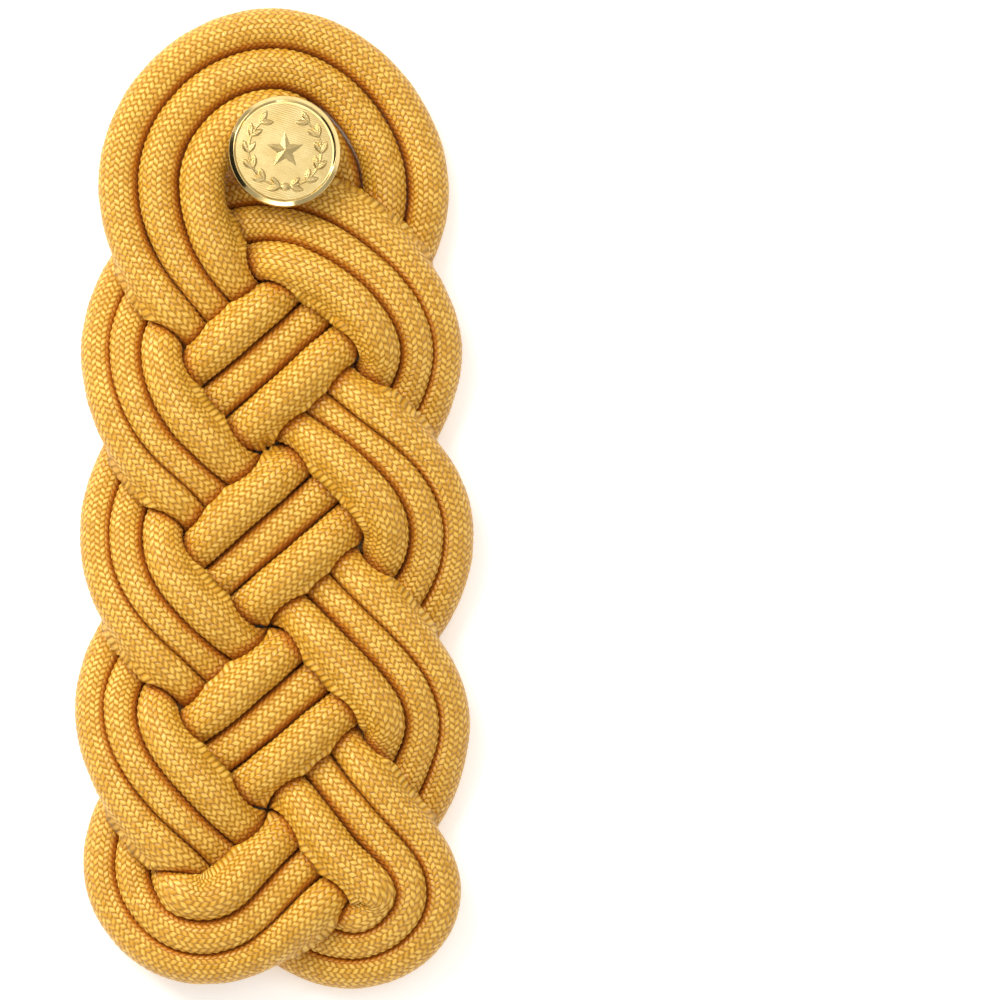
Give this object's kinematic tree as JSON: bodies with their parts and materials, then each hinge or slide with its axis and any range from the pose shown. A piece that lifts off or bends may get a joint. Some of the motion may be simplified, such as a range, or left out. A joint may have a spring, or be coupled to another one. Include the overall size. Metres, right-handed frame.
{
  "type": "shoulder knot",
  "caption": "Plaited shoulder knot of braided gold-coloured cord in a long closed plait, with a stamped gilt button in its round top loop.",
  "frame": {"origin": "middle of the box's base: the knot lies on its back on the plane z = 0", "axes": "+Y along the knot towards the button's loop, +X to the right as the worn side is looked at, +Z out of the worn side"},
  "size_m": [0.0558, 0.1386, 0.0164],
  "materials": {
    "braided_cord": "braided lustrous yarn",
    "button_gilt": "stamped gilt, matte ground and polished rim",
    "button_back_brass": "satin"
  },
  "bodies": {
    "root": {"cord_inner": "braided_cord", "cord_middle": "braided_cord", "cord_outer": "braided_cord", "button_face": "button_gilt", "button_back": "button_back_brass"}
  },
  "joints": []
}
